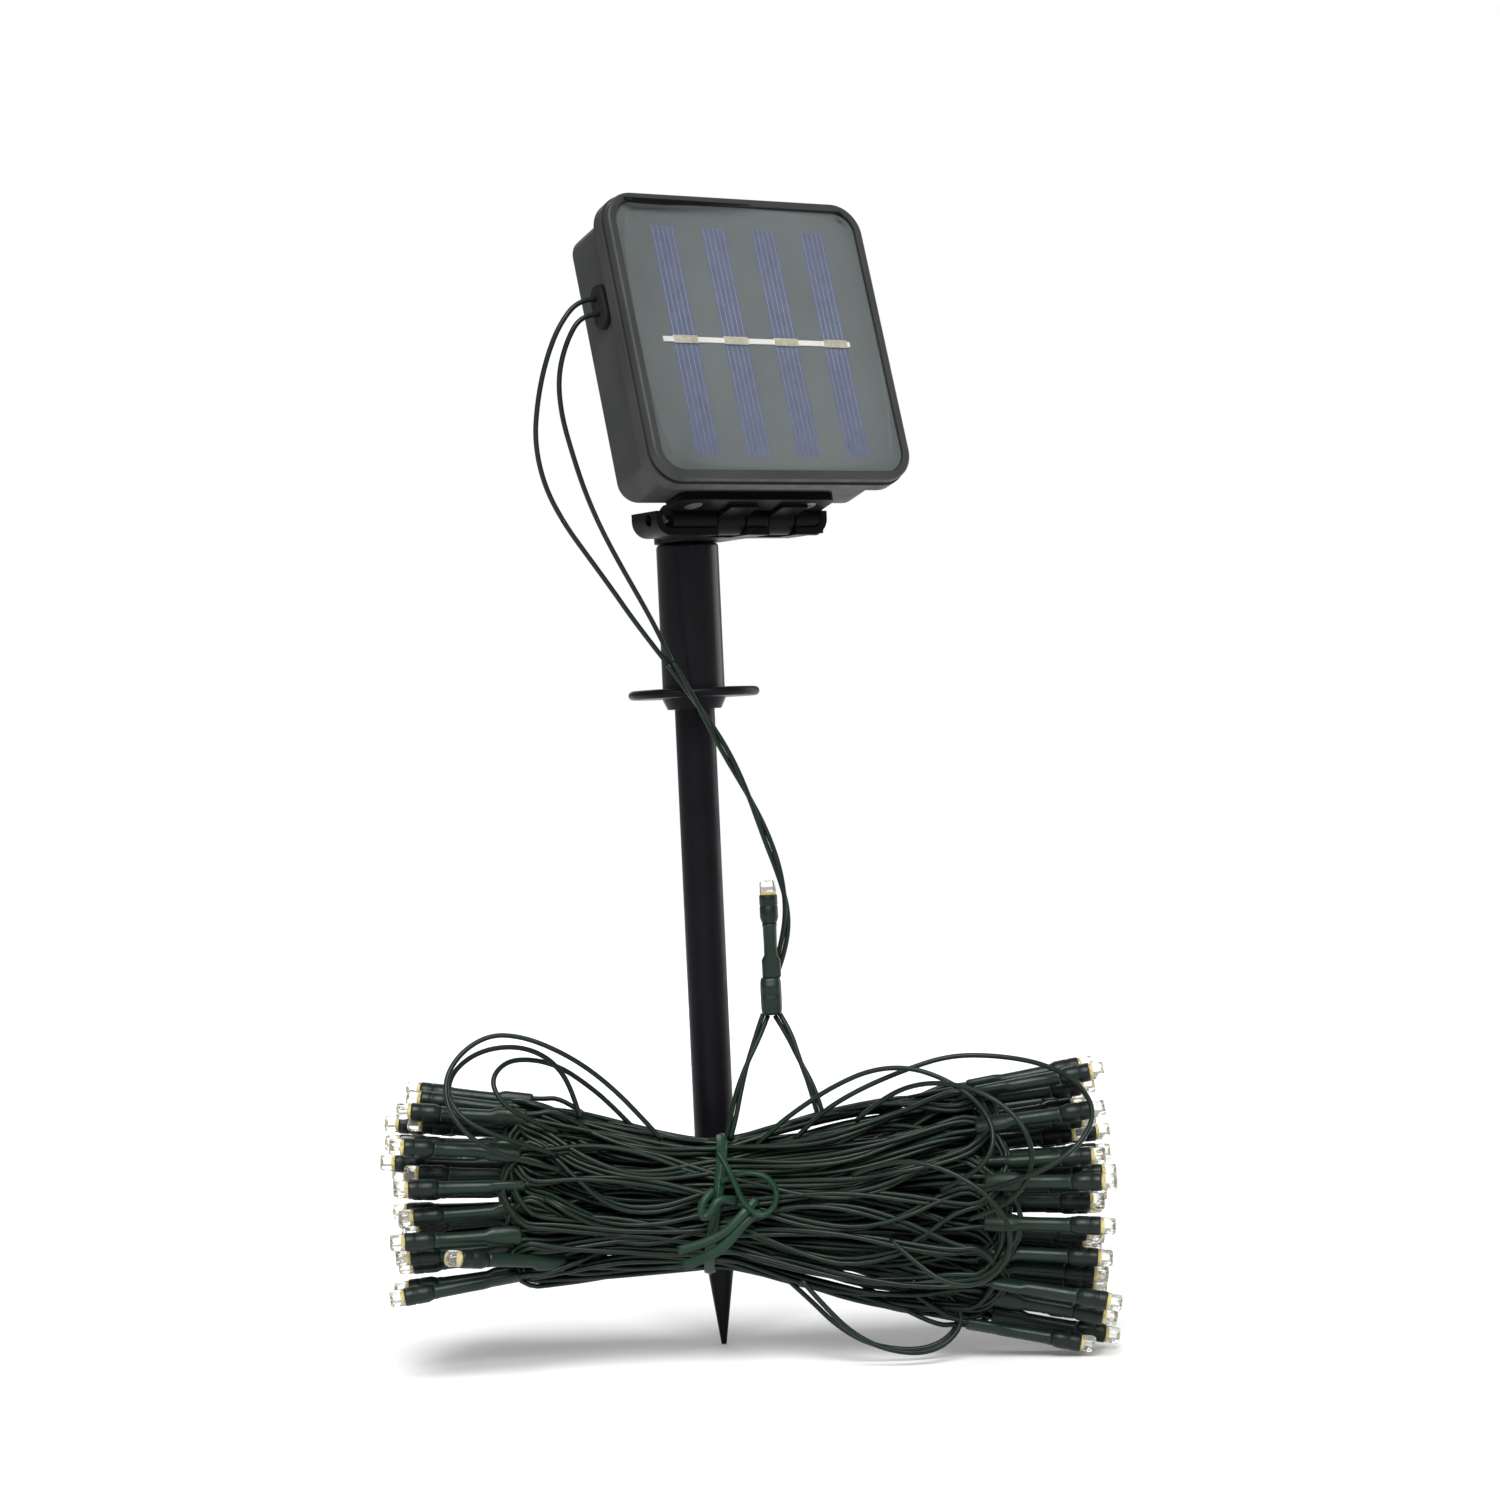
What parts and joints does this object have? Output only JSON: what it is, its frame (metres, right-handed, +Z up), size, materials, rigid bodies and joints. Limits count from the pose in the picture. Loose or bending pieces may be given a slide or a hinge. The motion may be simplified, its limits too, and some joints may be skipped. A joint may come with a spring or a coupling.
{
  "type": "solar string lights",
  "caption": "Solar string lights: a tilting solar panel box on a ground stake, with a light string tied in a hank by twist tie.",
  "frame": {"origin": "tip of the ground spike, on the axis of the stake", "axes": "+Z up along the stake, the solar face looks towards -Y and tilts about X"},
  "size_m": [0.2016, 0.1617, 0.3441],
  "materials": {
    "frame_plastic": "fine satin texture",
    "resin": "clear, glossy",
    "panel_board": "grey-green board behind resin",
    "solar_cell": "blue-grey silicon",
    "ribbon": "tinned, satin",
    "solder": "cream tinned pads",
    "rubber": "soft matte",
    "steel": "zinc plated",
    "circuit": "green solder mask",
    "component": "black",
    "battery_sleeve": "green film sleeve",
    "hinge_plastic": "satin black",
    "stake_plastic": "gloss black",
    "button_rubber": "soft dark grey",
    "wire_green": "dark green, slightly glossy",
    "tie_plastic": "dark green-black",
    "lens_clear": "clear"
  },
  "bodies": {
    "stake": {"stake_tube": "stake_plastic", "ground_spike": "stake_plastic", "lead_outer": "wire_green", "lead_inner": "wire_green", "lead_pair": "wire_green", "tail_left": "wire_green", "tail_right": "wire_green", "loop_top_left": "wire_green", "loop_top_left_inner": "wire_green", "loop_top_right": "wire_green", "loop_low_right": "wire_green", "wire_hank": "wire_green", "twist_tie": "tie_plastic", "light_sleeves_left": "wire_green", "light_collars_left": "wire_green", "light_lenses_left": "lens_clear", "light_sleeves_right": "wire_green", "light_collars_right": "wire_green", "light_lenses_right": "lens_clear", "first_collar": "wire_green", "first_lens": "lens_clear", "first_sleeve": "wire_green", "splice_sleeve": "wire_green", "loop_top_left_outer": "wire_green", "loop_top_right_inner": "wire_green", "loop_front_right": "wire_green", "loop_front_low": "wire_green", "loop_low_right_outer": "wire_green", "light_sleeves_front": "wire_green", "light_collars_front": "wire_green", "light_lenses_front": "lens_clear"},
    "bracket": {"hinge_bracket": "hinge_plastic", "hinge_pin": "steel"},
    "head": {"front_frame": "frame_plastic", "rear_case": "frame_plastic", "case_seal": "rubber", "case_screws": "steel", "solar_board": "panel_board", "cell_strips": "solar_cell", "bus_ribbon": "ribbon", "solder_pads": "solder", "resin_cover": "resin", "cable_grommet": "rubber", "circuit_board": "circuit", "control_chip": "component", "board_components": "component", "output_connector": "component", "power_switch": "component", "mode_switch": "component", "battery_cell": "battery_sleeve", "battery_contacts": "steel", "battery_holder": "component", "hinge_foot": "hinge_plastic", "foot_screws": "steel", "output_wire_upper": "wire_green", "output_wire_lower": "wire_green", "panel_wire_plus": "wire_green", "panel_wire_minus": "wire_green"},
    "power_button": {"power_button": "button_rubber"},
    "mode_button": {"mode_button": "button_rubber"}
  },
  "joints": [
    {"name": "swivel", "type": "hinge", "parent": "stake", "child": "bracket", "pos_m": [0, 0, 0.2342], "axis": [0, 0, 1], "range_deg": [-45, 45], "deforming": ["lead_outer", "lead_inner"]},
    {"name": "tilt", "type": "hinge", "parent": "bracket", "child": "head", "pos_m": [0, -0.0277, 0.2492], "axis": [1, 0, 0], "range_deg": [-59, 16], "deforming": ["lead_outer", "lead_inner"]},
    {"name": "power_press", "type": "slide", "parent": "head", "child": "power_button", "axis": [0, -0.9613, 0.2756], "range_m": [0, 0.0008], "stiffness_N_per_m": 900, "springref_m": -0.0012},
    {"name": "mode_press", "type": "slide", "parent": "head", "child": "mode_button", "axis": [0, -0.9613, 0.2756], "range_m": [0, 0.0008], "stiffness_N_per_m": 900, "springref_m": -0.0012}
  ]
}
